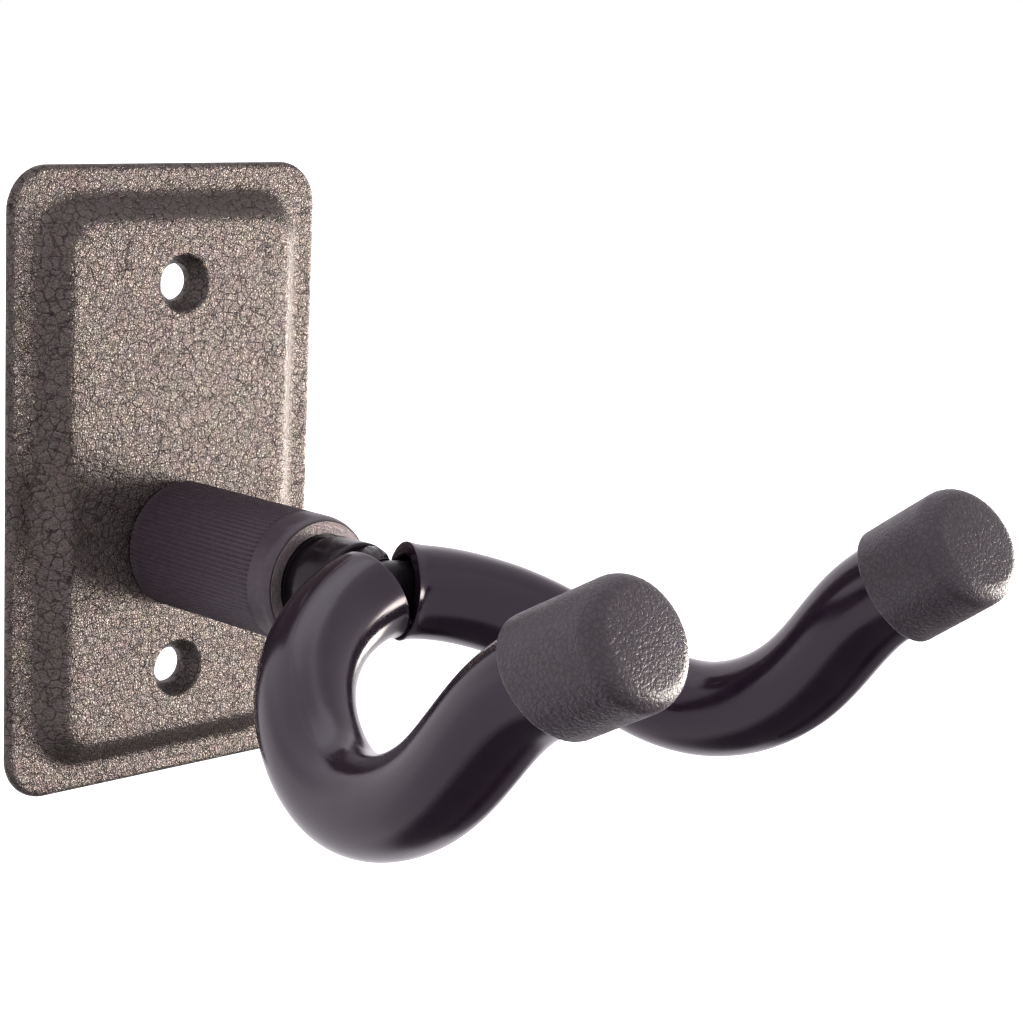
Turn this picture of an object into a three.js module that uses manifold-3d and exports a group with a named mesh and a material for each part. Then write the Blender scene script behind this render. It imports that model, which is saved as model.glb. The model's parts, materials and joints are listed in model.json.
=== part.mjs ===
// Wall guitar hanger: a stamped wall plate, a standoff tube under a ribbed sleeve, and a swivelling
// U-shaped yoke of bent rod with cushion tubes and rubber end caps.
//
// Frame, in millimetres: origin at the middle of the wall plate, on the wall; +X to the right when
// facing the wall, +Y into the wall, +Z up. The hanger reaches out along -Y.

import * as THREE from "three";
import { mergeVertices } from "three/addons/utils/BufferGeometryUtils.js";
import Module from "manifold-3d";

const wasm = await Module();
wasm.setup();

// ---- driving dimensions ----------------------------------------------------------------------
const PLATE_W = 60.7; // width
const PLATE_H = 101.6; // height
const PLATE_R = 7.1; // corner radius
const SHEET = 1.6; // sheet thickness
const FIELD_Y = 5.5; // front of the raised field, out from the wall
const RIM_IN = 3.5; // flat rim, from the edge to the foot of the slope
const SLOPE_RUN = 6.0; // sideways run of the slope up to the raised field
const FIELD_R = 4.0; // corner radius of the raised field
const SCREW_Z = 31.9; // wall screw holes, above and below the middle
const SCREW_R = 3.0; // wall screw hole radius
const SINK_R = 4.7; // mouth radius of the pressed countersink
const SINK_D = 2.6; // its depth

const AXIS_Z = -10.72; // height of the swivel axis
const TUBE_RO = 9.5; // standoff tube
const TUBE_RI = 8.15;
const TUBE_BACK = 3.0; // distances out from the wall
const TUBE_FRONT = 40.85;
const SLEEVE_RO = 10.36;
const SLEEVE_RI = 9.75;
const SLEEVE_BACK = 5.75;
const GAP = 0.3; // drawn gap between pieces that touch
const RUN = 0.1; // radial running clearance of the swivel

const SHAFT_R = 6.0; // swivel spindle
const SHAFT_BACK = 6.9;
const HEAD_R = 7.9;
const HEAD_BACK = 43.2;
const HEAD_FRONT = 49.9;
const NOSE_R = 7.0; // front bush's thrust nose

const ROD_R = 4.6; // yoke rod
const CUSHION_R = 7.2; // cushion tube, outside
const CUSHION_RI = 4.9; // and inside
const CAP_R = 8.7; // end caps
const CAP_END = 4.0; // thickness of their closed ends

// Yoke centreline, from the crown to just before the end caps (x, y, z). The rod is bent by hand, so
// its two arms differ by a millimetre or so, and the yoke rests about 2 degrees round its swivel.
// Inside the caps the rod is straight.
const LEFT = [
  [-3.65, -55.53, -9.51],
  [-7.13, -56.23, -10.43],
  [-10.48, -57.31, -11.46],
  [-13.68, -58.70, -12.62],
  [-16.70, -60.35, -13.90],
  [-19.52, -62.22, -15.32],
  [-22.10, -64.30, -16.90],
  [-24.39, -66.60, -18.62],
  [-26.35, -69.12, -20.42],
  [-28.01, -71.84, -22.25],
  [-29.40, -74.74, -24.02],
  [-30.59, -77.83, -25.60],
  [-31.60, -81.12, -26.85],
  [-32.49, -84.61, -27.57],
  [-33.23, -88.20, -27.67],
  [-33.84, -91.79, -27.19],
  [-34.31, -95.29, -26.22],
  [-34.68, -98.67, -24.84],
  [-34.98, -101.90, -23.10],
  [-35.21, -104.92, -21.04],
  [-35.40, -107.69, -18.63],
  [-35.56, -110.20, -15.96],
  [-35.65, -112.55, -13.14],
  [-35.68, -114.88, -10.30],
  [-35.60, -117.28, -7.60],
  [-35.45, -119.75, -5.25],
];
const RIGHT = [
  [3.49, -55.47, -9.62],
  [6.96, -56.58, -9.98],
  [10.36, -57.83, -10.58],
  [13.65, -59.24, -11.39],
  [16.80, -60.81, -12.40],
  [19.78, -62.59, -13.60],
  [22.52, -64.59, -14.99],
  [24.96, -66.83, -16.55],
  [27.08, -69.31, -18.23],
  [28.89, -71.98, -19.98],
  [30.41, -74.83, -21.70],
  [31.71, -77.88, -23.27],
  [32.81, -81.14, -24.53],
  [33.73, -84.60, -25.30],
  [34.48, -88.19, -25.46],
  [35.04, -91.78, -25.04],
  [35.45, -95.30, -24.10],
  [35.74, -98.69, -22.73],
  [35.91, -101.91, -20.99],
  [35.98, -104.94, -18.92],
  [35.94, -107.72, -16.53],
  [35.80, -110.25, -13.88],
  [35.57, -112.60, -11.08],
  [35.30, -114.91, -8.24],
  [35.03, -117.20, -5.60],
  [34.78, -119.55, -3.20],
];
const CROWN = [0, -55.0, -9.15];
const LEFT_MOUTH = [-35.15, -124.74, -1.96]; // mouth of each cap, on the centreline
const LEFT_TIP = [-34.51, -139.76, 6.25]; // middle of its domed end
const RIGHT_MOUTH = [34.42, -124.10, 0.19];
const RIGHT_TIP = [33.12, -138.28, 9.71];
const LEFT_LEAN = [0.033, -0.187]; // how far each cap's mouth leans, sideways and upwards
const RIGHT_LEAN = [0.245, -0.054];
const STEP = 3.4; // length of one sweep step along the rod


// ---- helpers ---------------------------------------------------------------------------------
function solid(geometry) {
  const g = geometry.clone();
  g.deleteAttribute("normal");
  g.deleteAttribute("uv");
  const m = mergeVertices(g, 1e-4);
  return new wasm.Manifold(
    new wasm.Mesh({
      numProp: 3,
      vertProperties: new Float32Array(m.attributes.position.array),
      triVerts: new Uint32Array(m.index.array),
    }),
  );
}

function geometryOf(manifold) {
  const mesh = manifold.getMesh();
  const n = mesh.vertProperties.length / mesh.numProp;
  const xyz = new Float32Array(n * 3);
  for (let i = 0; i < n; i++)
    for (let k = 0; k < 3; k++) xyz[3 * i + k] = mesh.vertProperties[i * mesh.numProp + k];
  const g = new THREE.BufferGeometry();
  g.setAttribute("position", new THREE.BufferAttribute(xyz, 3));
  g.setIndex(new THREE.BufferAttribute(new Uint32Array(mesh.triVerts), 1));
  const flat = g.toNonIndexed();
  flat.computeVertexNormals();
  return flat;
}

// A turned piece: the profile is [radius, height], closed on itself or starting and ending on the axis.
function lathe(profile, sides = 36) {
  const points = profile.map(([r, y]) => new THREE.Vector2(r, y));
  let area = 0;
  for (let i = 0; i < points.length; i++) {
    const a = points[i];
    const b = points[(i + 1) % points.length];
    area += a.x * b.y - b.x * a.y;
  }
  if (area < 0) points.reverse();
  if (points[0].x > 0 || points[points.length - 1].x > 0) points.push(points[0].clone());
  return new THREE.LatheGeometry(points, sides);
}

// The same, turned so that heights run out from the wall, along -Y.
function turned(profile, sides = 36) {
  return lathe(profile, sides).rotateX(Math.PI);
}

function roundedRectangle(w, h, r) {
  const s = new THREE.Shape();
  s.moveTo(-w / 2 + r, -h / 2);
  s.lineTo(w / 2 - r, -h / 2);
  s.absarc(w / 2 - r, -h / 2 + r, r, -Math.PI / 2, 0, false);
  s.lineTo(w / 2, h / 2 - r);
  s.absarc(w / 2 - r, h / 2 - r, r, 0, Math.PI / 2, false);
  s.lineTo(-w / 2 + r, h / 2);
  s.absarc(-w / 2 + r, h / 2 - r, r, Math.PI / 2, Math.PI, false);
  s.lineTo(-w / 2, -h / 2 + r);
  s.absarc(-w / 2 + r, -h / 2 + r, r, Math.PI, Math.PI * 1.5, false);
  return s;
}

// A slab with straight sides, from one distance out from the wall to another.
function slab(shape, from, to, segments = 8) {
  const g = new THREE.ExtrudeGeometry(shape, {
    depth: to - from,
    bevelEnabled: false,
    curveSegments: segments,
  });
  g.translate(0, 0, from);
  g.rotateX(Math.PI / 2); // shape +Y becomes +Z, and depth runs along -Y
  return g;
}

// A slab whose sides slope in by `run` between the distances `from` and `to`, ending in the shape,
// and run straight back from `from` to `back`.
function slopedSlab(shape, back, from, to, run, segments = 8) {
  const g = new THREE.ExtrudeGeometry(shape, {
    depth: from - back,
    bevelEnabled: true,
    bevelSegments: 1,
    bevelThickness: to - from,
    bevelSize: run,
    curveSegments: segments,
  });
  g.translate(0, 0, back);
  g.rotateX(Math.PI / 2);
  return g;
}

function material(color, roughness, metalness) {
  return new THREE.MeshStandardMaterial({ color, roughness, metalness });
}

const group = new THREE.Group();
function add(parent, name, geometry, mat) {
  const mesh = new THREE.Mesh(geometry, mat);
  mesh.name = name;
  parent.add(mesh);
  return mesh;
}

// ---- wall plate: one formed sheet, hollow behind, with two pressed countersunk holes ------------
const slopeIn = RIM_IN + SLOPE_RUN;
const field = roundedRectangle(PLATE_W - 2 * slopeIn, PLATE_H - 2 * slopeIn, FIELD_R);
const rise = FIELD_Y - SHEET;
const slopeLen = Math.hypot(SLOPE_RUN, rise);
const backFoot =
  RIM_IN + (SHEET * rise) / slopeLen - ((SHEET - (SHEET * SLOPE_RUN) / slopeLen) * SLOPE_RUN) / rise;
const backTop = backFoot + SLOPE_RUN;
const hollow = roundedRectangle(PLATE_W - 2 * backTop, PLATE_H - 2 * backTop, FIELD_R);

// The slope's own slab is cut off behind the wall plane, so it starts a little inside the rim.
let plate = solid(slab(roundedRectangle(PLATE_W, PLATE_H, PLATE_R), 0, SHEET));
plate = plate.add(solid(slopedSlab(field, 0.4, SHEET, FIELD_Y, SLOPE_RUN)));
plate = plate.subtract(solid(slopedSlab(hollow, -1, 0, FIELD_Y - SHEET, SLOPE_RUN)));
for (const z of [SCREW_Z, -SCREW_Z]) {
  const boss = turned([
    [0, FIELD_Y - SHEET + 0.4],
    [SINK_R + SHEET * 0.75, FIELD_Y - SHEET + 0.4],
    [SINK_R + SHEET * 0.75, FIELD_Y - SHEET],
    [SCREW_R + SHEET, FIELD_Y - SINK_D - SHEET],
    [0, FIELD_Y - SINK_D - SHEET],
  ], 32);
  const sink = turned([
    [0, FIELD_Y + 1],
    [SINK_R, FIELD_Y + 1],
    [SINK_R, FIELD_Y],
    [SCREW_R, FIELD_Y - SINK_D],
    [SCREW_R, -1],
    [0, -1],
  ], 32);
  plate = plate.add(solid(boss.translate(0, 0, z))).subtract(solid(sink.translate(0, 0, z)));
}
const tubeHole = turned([
  [0, FIELD_Y + 1],
  [TUBE_RO + GAP, FIELD_Y + 1],
  [TUBE_RO + GAP, -1],
  [0, -1],
]);
plate = plate.subtract(solid(tubeHole.translate(0, 0, AXIS_Z)));
add(group, "wall_plate", geometryOf(plate), material(0x8f857b, 0.5, 0.4));

// ---- standoff: steel tube through the plate, welded behind, with a ribbed sleeve outside --------
const base = new THREE.Group();
base.position.z = AXIS_Z;
group.add(base);

add(base, "standoff_tube", turned([
  [TUBE_RI, TUBE_BACK],
  [TUBE_RO, TUBE_BACK],
  [TUBE_RO, TUBE_FRONT - 0.2],
  [TUBE_RO - 0.2, TUBE_FRONT],
  [TUBE_RI, TUBE_FRONT],
]), material(0x8f857b, 0.5, 0.4));

const weldFoot = FIELD_Y - SHEET - GAP;
add(base, "standoff_weld", turned([
  [TUBE_RO + GAP, weldFoot],
  [TUBE_RO + GAP + 2.0, weldFoot],
  [TUBE_RO + GAP + 0.9, weldFoot - 0.7],
  [TUBE_RO + GAP, weldFoot - 1.6],
]), material(0x4a4640, 0.6, 0.8));

add(base, "ribbed_sleeve", turned([
  [SLEEVE_RI, SLEEVE_BACK],
  [SLEEVE_RO, SLEEVE_BACK],
  [SLEEVE_RO, TUBE_FRONT - 1.9],
  [SLEEVE_RO - 0.12, TUBE_FRONT - 1.0],
  [SLEEVE_RO - 0.38, TUBE_FRONT - 0.2],
  [SLEEVE_RI, TUBE_FRONT - 0.1],
]), material(0x2a272b, 0.55, 0.0));

// ---- plain bearings ---------------------------------------------------------------------------
const BUSH_RO = TUBE_RI - GAP;
const BUSH_RI = SHAFT_R + RUN;
add(base, "front_bushing", turned([
  [BUSH_RI, 27.0],
  [BUSH_RO, 27.0],
  [BUSH_RO, TUBE_FRONT - 0.3],
  [NOSE_R, TUBE_FRONT - 0.3],
  [NOSE_R, HEAD_BACK - GAP],
  [BUSH_RI, HEAD_BACK - GAP],
]), material(0x141315, 0.5, 0.0));
add(base, "rear_bushing", turned([
  [BUSH_RI, 8.0],
  [BUSH_RO, 8.0],
  [BUSH_RO, 20.0],
  [BUSH_RI, 20.0],
]), material(0x141315, 0.5, 0.0));

// ---- swivel: spindle, its rear fixings, the bent rod and its cushions --------------------------
const swivel = new THREE.Group();
swivel.position.z = AXIS_Z;
group.add(swivel);

add(swivel, "swivel_spindle", turned([
  [0, 20.0],
  [2.8, 20.0],
  [2.8, SHAFT_BACK],
  [SHAFT_R - 0.4, SHAFT_BACK],
  [SHAFT_R, SHAFT_BACK + 0.4],
  [SHAFT_R, HEAD_BACK],
  [HEAD_R - 0.3, HEAD_BACK],
  [HEAD_R, HEAD_BACK + 0.3],
  [HEAD_R, HEAD_FRONT - 0.5],
  [HEAD_R - 0.5, HEAD_FRONT],
  [0, HEAD_FRONT],
]), material(0x161417, 0.25, 0.3));
add(swivel, "thrust_washer", turned([
  [SHAFT_R + RUN, SHAFT_BACK + 0.1],
  [7.7, SHAFT_BACK + 0.1],
  [7.7, 7.7],
  [SHAFT_R + RUN, 7.7],
]), material(0xd8d4c8, 0.6, 0.0));
add(swivel, "retaining_washer", turned([
  [2.8, 5.5],
  [7.4, 5.5],
  [7.4, SHAFT_BACK - 0.2],
  [2.8, SHAFT_BACK - 0.2],
]), material(0xa8a8a8, 0.35, 1.0));

const screw = solid(turned([
  [0, 2.7],
  [3.6, 2.7],
  [4.6, 3.4],
  [4.6, 5.3],
  [2.5, 5.3],
  [2.5, 19.0],
  [0, 19.0],
], 32)).subtract(
  solid(new THREE.CylinderGeometry(1.75, 1.75, 1.7, 6).translate(0, -3.35, 0)),
);
add(swivel, "retaining_screw", geometryOf(screw), material(0x8c8c8e, 0.35, 1.0));

// The centreline as one smooth curve, tip to tip.
const V = ([x, y, z]) => new THREE.Vector3(x, y, z);
function arm(points, mouth, tip) {
  const m = V(mouth);
  const t = V(tip);
  const lead = m.clone().addScaledVector(t.clone().sub(m).normalize(), -1.8);
  return [...points.map(V), lead, m, m.clone().lerp(t, 0.5), t];
}
const centreline = new THREE.CatmullRomCurve3(
  [
    ...arm(LEFT, LEFT_MOUTH, LEFT_TIP).reverse(),
    V(CROWN),
    ...arm(RIGHT, RIGHT_MOUTH, RIGHT_TIP),
  ],
  false,
  "centripetal",
);
centreline.arcLengthDivisions = 2000;
const LENGTH = centreline.getLength();

class Stretch extends THREE.Curve {
  constructor(from, to) {
    super();
    this.from = from;
    this.to = to;
  }
  getPoint(t, target = new THREE.Vector3()) {
    return centreline.getPointAt(this.from + (this.to - this.from) * t, target);
  }
}

// A round bar or tube along the centreline, between two distances from the left tip.
function sweep(from, to, outside, inside = 0, sides = 16) {
  const shape = new THREE.Shape();
  shape.absarc(0, 0, outside, 0, Math.PI * 2, false);
  if (inside) {
    const hole = new THREE.Path();
    hole.absarc(0, 0, inside, 0, Math.PI * 2, true);
    shape.holes.push(hole);
  }
  return new THREE.ExtrudeGeometry(shape, {
    steps: Math.round((to - from) / STEP),
    bevelEnabled: false,
    curveSegments: sides / 2,
    extrudePath: new Stretch(from / LENGTH, to / LENGTH),
  });
}

const yoke = new THREE.Group();
group.add(yoke);
const rodEnd = CAP_END + GAP + 0.5;
add(yoke, "yoke_rod", sweep(rodEnd, LENGTH - rodEnd, ROD_R, 0, 12), material(0x1a171b, 0.35, 0.4));

// Cushion tubes: cut at the crown, and dented where they press on the spindle's head.
const headClear = solid(
  turned([
    [0, HEAD_BACK - GAP],
    [HEAD_R + GAP, HEAD_BACK - GAP],
    [HEAD_R + GAP, HEAD_FRONT + GAP],
    [0, HEAD_FRONT + GAP],
  ]).translate(0, 0, AXIS_Z),
);
const cushionEnd = CAP_END + GAP;
// Each crown cut is a plane: x = at + perY (y - CROWN y) + perZ (z - CROWN z).
const CUTS = {
  left: { at: -2.15, perY: -0.1, perZ: -0.42 },
  right: { at: 3.9, perY: 0.44, perZ: 0.13 },
};
function sideOf(cut, sign) {
  // A large box whose face lies on the cut plane, on the side away from the crown.
  const normal = new THREE.Vector3(-1, cut.perY, cut.perZ).normalize().multiplyScalar(-sign);
  const box = new THREE.BoxGeometry(160, 160, 160).translate(80, 0, 0);
  const turn = new THREE.Quaternion().setFromUnitVectors(new THREE.Vector3(1, 0, 0), normal);
  box.applyQuaternion(turn);
  box.translate(cut.at, CROWN[1], CROWN[2]);
  return solid(box);
}
// The crown's own distance from the left tip: where the curve crosses x = 0.
let middle = LENGTH / 2;
for (let i = 0; i < 20; i++) middle -= centreline.getPointAt(middle / LENGTH).x;
const OVER = 6; // the raw tubes run this far past the crown before they are cut
const rubber = material(0x1d1a1e, 0.3, 0.0);
const leftTube = solid(sweep(cushionEnd, middle + OVER, CUSHION_R, CUSHION_RI))
  .intersect(sideOf(CUTS.left, -1))
  .subtract(headClear);
const rightTube = solid(sweep(middle - OVER, LENGTH - cushionEnd, CUSHION_R, CUSHION_RI))
  .intersect(sideOf(CUTS.right, 1))
  .subtract(headClear);
add(yoke, "left_tube", geometryOf(leftTube), rubber);
add(yoke, "right_tube", geometryOf(rightTube), rubber.clone());

// Weld bead in the corner between the rod and the spindle's head, seen in the gap at the crown.
const bead = solid(
  new THREE.SphereGeometry(1, 16, 12)
    .scale(3.1, 2.7, 2.7)
    .translate(0.7, -HEAD_FRONT - 1.7, -5.7),
)
  .subtract(solid(sweep(middle - 9, middle + 9, ROD_R + GAP)))
  .intersect(solid(new THREE.BoxGeometry(40, 40, 40).translate(0, -HEAD_FRONT - GAP - 20, -5)));
add(yoke, "yoke_weld", geometryOf(bead), material(0x17151a, 0.35, 0.5));

// End caps: rubber cups with a rounded mouth and a domed end. Pushed on by hand over the bend
// in the rod, each mouth leans a little.
const CAP_BORE = CUSHION_R + GAP;
for (const [name, mouth, tip, lean] of [
  ["left_end_cap", V(LEFT_MOUTH), V(LEFT_TIP), LEFT_LEAN],
  ["right_end_cap", V(RIGHT_MOUTH), V(RIGHT_TIP), RIGHT_LEAN],
]) {
  const length = tip.distanceTo(mouth);
  const g = lathe([
    [0, length - CAP_END],
    [CAP_BORE, length - CAP_END],
    [CAP_BORE, 0],
    [CAP_R - 0.7, 0],
    [CAP_R - 0.2, 0.3],
    [CAP_R, 0.9],
    [CAP_R, length - 3.45],
    [CAP_R - 0.24, length - 2.25],
    [CAP_R - 0.91, length - 1.25],
    [CAP_R - 1.8, length - 0.63],
    [CAP_R - 2.7, length - 0.37],
    [CAP_R - 5.5, length - 0.1],
    [0, length],
  ], 28);
  const p = g.attributes.position;
  for (let i = 0; i < p.count; i++) {
    const fade = Math.max(0, 1 - p.getY(i) / (length - CAP_END));
    p.setY(i, p.getY(i) + fade * (lean[0] * p.getX(i) + lean[1] * p.getZ(i)));
  }
  g.computeVertexNormals();
  const cap = add(yoke, name, g, material(0x2b282b, 0.6, 0.0));
  // Local +Y runs along the cap, +X sideways and +Z upwards.
  const along = tip.clone().sub(mouth).normalize();
  const sideways = along.clone().cross(new THREE.Vector3(0, 0, 1)).normalize();
  const upwards = sideways.clone().cross(along);
  cap.quaternion.setFromRotationMatrix(new THREE.Matrix4().makeBasis(sideways, along, upwards));
  cap.position.copy(mouth);
}

export default group;
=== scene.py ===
import json
import math

import bpy
import numpy as np
from mathutils import Matrix, Vector, geometry, noise

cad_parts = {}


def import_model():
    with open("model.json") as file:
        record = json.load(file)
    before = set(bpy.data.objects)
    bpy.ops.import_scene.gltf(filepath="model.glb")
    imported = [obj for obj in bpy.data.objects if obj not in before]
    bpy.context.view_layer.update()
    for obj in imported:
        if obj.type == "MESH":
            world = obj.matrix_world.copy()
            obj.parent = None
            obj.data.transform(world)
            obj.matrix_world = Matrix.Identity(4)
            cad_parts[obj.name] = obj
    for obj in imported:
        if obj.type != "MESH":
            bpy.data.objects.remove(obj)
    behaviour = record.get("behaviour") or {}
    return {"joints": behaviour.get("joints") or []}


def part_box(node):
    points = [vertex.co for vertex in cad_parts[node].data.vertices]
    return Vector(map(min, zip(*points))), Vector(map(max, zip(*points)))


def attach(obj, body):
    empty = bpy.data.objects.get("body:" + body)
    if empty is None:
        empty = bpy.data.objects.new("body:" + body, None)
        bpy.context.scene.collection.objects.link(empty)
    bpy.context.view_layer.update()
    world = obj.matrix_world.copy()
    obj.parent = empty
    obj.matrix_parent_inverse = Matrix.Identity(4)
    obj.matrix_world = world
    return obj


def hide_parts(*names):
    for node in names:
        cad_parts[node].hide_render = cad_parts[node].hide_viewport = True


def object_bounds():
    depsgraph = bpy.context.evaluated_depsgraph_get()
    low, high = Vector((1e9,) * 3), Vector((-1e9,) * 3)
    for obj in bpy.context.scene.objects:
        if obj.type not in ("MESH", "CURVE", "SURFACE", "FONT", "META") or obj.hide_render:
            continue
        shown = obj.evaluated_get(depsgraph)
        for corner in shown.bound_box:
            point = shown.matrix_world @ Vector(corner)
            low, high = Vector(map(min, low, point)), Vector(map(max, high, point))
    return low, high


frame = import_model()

CAD_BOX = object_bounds()
MM = 0.001
JOINT = next(j for j in frame["joints"] if j["name"] == "yoke_swivel")
AXIS_Z = JOINT["pos_m"][2] * 1000.0  # height of the swivel axis, mm


# ---------------------------------------------------------------------------------------------
# sizes, in millimetres, as in the CAD
# ---------------------------------------------------------------------------------------------
def extent(node):
    lo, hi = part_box(node)
    return [v * 1000 for v in lo], [v * 1000 for v in hi]


PL_LO, PL_HI = extent("wall_plate")
PLATE_W = PL_HI[0] - PL_LO[0]
PLATE_H = PL_HI[2] - PL_LO[2]
FIELD_Y = -PL_LO[1]
PLATE_R = 7.1
SHEET = 1.6
SLOPE_IN = 9.5
SLOPE_RUN = 6.0
FIELD_R = 4.0
SCREW_Z = 31.9
SCREW_R = 3.0
SINK_R = 4.7
SINK_D = 2.6

TUBE_RO, TUBE_RI, TUBE_BACK = 9.5, 8.15, 3.0
TUBE_FRONT = -extent("standoff_tube")[0][1]
SLEEVE_RO, SLEEVE_RI = (extent("ribbed_sleeve")[1][0] - extent("ribbed_sleeve")[0][0]) / 2, 9.75
SLEEVE_BACK = -extent("ribbed_sleeve")[1][1]
HEAD_FRONT = -extent("swivel_spindle")[0][1]
HEAD_BACK = HEAD_FRONT - 6.7
HEAD_R = (extent("swivel_spindle")[1][0] - extent("swivel_spindle")[0][0]) / 2
SHAFT_R, SHAFT_BACK, NOSE_R = 6.0, 6.9, 7.0
ROD_R, CUSHION_R, CUSHION_RI = 4.6, 7.18, 4.95
CAP_R, CAP_END = 8.7, 4.0

CROWN = (0, -55.0, -9.15)
LEFT = [
    (-3.65, -55.53, -9.51), (-7.13, -56.23, -10.43), (-10.48, -57.31, -11.46), (-13.68, -58.70, -12.62),
    (-16.70, -60.35, -13.90), (-19.52, -62.22, -15.32), (-22.10, -64.30, -16.90), (-24.39, -66.60, -18.62),
    (-26.35, -69.12, -20.42), (-28.01, -71.84, -22.25), (-29.40, -74.74, -24.02), (-30.59, -77.83, -25.60),
    (-31.60, -81.12, -26.85), (-32.49, -84.61, -27.57), (-33.23, -88.20, -27.67), (-33.84, -91.79, -27.19),
    (-34.31, -95.29, -26.22), (-34.68, -98.67, -24.84), (-34.98, -101.90, -23.10), (-35.21, -104.92, -21.04),
    (-35.40, -107.69, -18.63), (-35.56, -110.20, -15.96), (-35.65, -112.55, -13.14), (-35.68, -114.88, -10.30),
    (-35.60, -117.28, -7.60), (-35.45, -119.75, -5.25),
]
RIGHT = [
    (3.49, -55.47, -9.62), (6.96, -56.58, -9.98), (10.36, -57.83, -10.58), (13.65, -59.24, -11.39),
    (16.80, -60.81, -12.40), (19.78, -62.59, -13.60), (22.52, -64.59, -14.99), (24.96, -66.83, -16.55),
    (27.08, -69.31, -18.23), (28.89, -71.98, -19.98), (30.41, -74.83, -21.70), (31.71, -77.88, -23.27),
    (32.81, -81.14, -24.53), (33.73, -84.60, -25.30), (34.48, -88.19, -25.46), (35.04, -91.78, -25.04),
    (35.45, -95.30, -24.10), (35.74, -98.69, -22.73), (35.91, -101.91, -20.99), (35.98, -104.94, -18.92),
    (35.94, -107.72, -16.53), (35.80, -110.25, -13.88), (35.57, -112.60, -11.08), (35.30, -114.91, -8.24),
    (35.03, -117.20, -5.60), (34.78, -119.55, -3.20),
]
L_MOUTH, L_TIP, L_LEAN = (-35.15, -124.74, -1.96), (-34.51, -139.76, 6.25), (0.033, -0.187)
R_MOUTH, R_TIP, R_LEAN = (34.42, -124.10, 0.19), (33.12, -138.28, 9.71), (0.245, -0.054)
# Crown cuts of the cushion tubes: x = at + per_y (y - crown y) + per_z (z - crown z).
CUT_L = (-2.15, -0.1, -0.42)
CUT_R = (3.9, 0.44, 0.13)


# ---------------------------------------------------------------------------------------------
# mesh helpers
# ---------------------------------------------------------------------------------------------
def make(name, verts_mm, faces, smooth=True, uv=None):
    me = bpy.data.meshes.new(name)
    v = np.asarray(verts_mm, float) * MM
    me.from_pydata([tuple(p) for p in v], [], [tuple(f) for f in faces])
    me.validate()
    me.update()
    for p in me.polygons:
        p.use_smooth = smooth
    if uv is not None:
        layer = me.uv_layers.new(name="along")
        for loop in me.loops:
            layer.data[loop.index].uv = uv[loop.vertex_index]
    ob = bpy.data.objects.new(name, me)
    bpy.context.scene.collection.objects.link(ob)
    return ob


def sharp_by_angle(ob, degrees=35):
    me = ob.data
    import bmesh
    bm = bmesh.new()
    bm.from_mesh(me)
    limit = math.radians(degrees)
    for e in bm.edges:
        if len(e.link_faces) == 2 and e.calc_face_angle(0) > limit:
            e.smooth = False
    bm.to_mesh(me)
    bm.free()
    return ob


def rounded(profile, radii, steps=5):
    """A closed (r, out) profile with its corners rounded: radii is one number, or one for each corner."""
    n = len(profile)
    P = [np.array(p, float) for p in profile]
    if not hasattr(radii, "__len__"):
        radii = [radii] * n
    out = []
    for i in range(n):
        a, b, c = P[i - 1], P[i], P[(i + 1) % n]
        r = radii[i]
        u, w = a - b, c - b
        lu, lw = np.linalg.norm(u), np.linalg.norm(w)
        u, w = u / lu, w / lw
        ang = math.acos(max(-1, min(1, float(u @ w))))
        if r <= 0 or ang > math.pi - 0.05:
            out.append(b)
            continue
        d = min(r / math.tan(ang / 2), 0.45 * lu, 0.45 * lw)
        rr = d * math.tan(ang / 2)
        mid = (u + w) / np.linalg.norm(u + w)
        centre = b + mid * (rr / math.sin(ang / 2))
        s, e = b + u * d - centre, b + w * d - centre
        a0 = math.atan2(s[1], s[0])
        a1 = math.atan2(e[1], e[0])
        da = (a1 - a0 + math.pi) % (2 * math.pi) - math.pi
        for k in range(steps + 1):
            t = a0 + da * k / steps
            out.append(centre + rr * np.array([math.cos(t), math.sin(t)]))
    return out


def subdivided(profile, longest, closed=True):
    """The profile with its long straight runs cut into shorter ones."""
    out = []
    n = len(profile)
    for i in range(n if closed else n - 1):
        a, b = np.array(profile[i], float), np.array(profile[(i + 1) % n], float)
        k = max(1, int(np.ceil(np.linalg.norm(b - a) / longest)))
        for j in range(k):
            out.append(a + (b - a) * j / k)
    if not closed:
        out.append(np.array(profile[-1], float))
    return out


def turned(name, profile, segs=128, closed=True, radial=None):
    """A turned piece about the swivel axis, from (radius, out) points. Where closed is False the profile starts and ends on the axis.
    radial(theta array, radius, out) gives the radius at each angle, for ribs and the like."""
    prof = [np.array(p, float) for p in profile]
    area = sum(prof[i][0] * prof[(i + 1) % len(prof)][1] - prof[(i + 1) % len(prof)][0] * prof[i][1] for i in range(len(prof)))
    if area < 0:
        prof = prof[::-1]
    th = np.linspace(0, 2 * math.pi, segs, endpoint=False)
    verts, rows = [], []
    for r, o in prof:
        if r < 1e-6:
            rows.append([len(verts)] * segs)
            verts.append((0.0, -o, AXIS_Z))
            continue
        rr = np.full(segs, r) if radial is None else radial(th, r, o)
        rows.append(list(range(len(verts), len(verts) + segs)))
        verts.extend(zip(rr * np.cos(th), np.full(segs, -o), AXIS_Z + rr * np.sin(th)))
    faces = []
    m = len(rows)
    for i in range(m if closed else m - 1):
        A, B = rows[i], rows[(i + 1) % m]
        for j in range(segs):
            k = (j + 1) % segs
            f = [A[j], B[j], B[k], A[k]]
            g = []
            for v in f:
                if v not in g:
                    g.append(v)
            if len(g) > 2:
                faces.append(g)
    ob = make(name, verts, faces)
    fix_normals(ob)
    return ob


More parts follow.
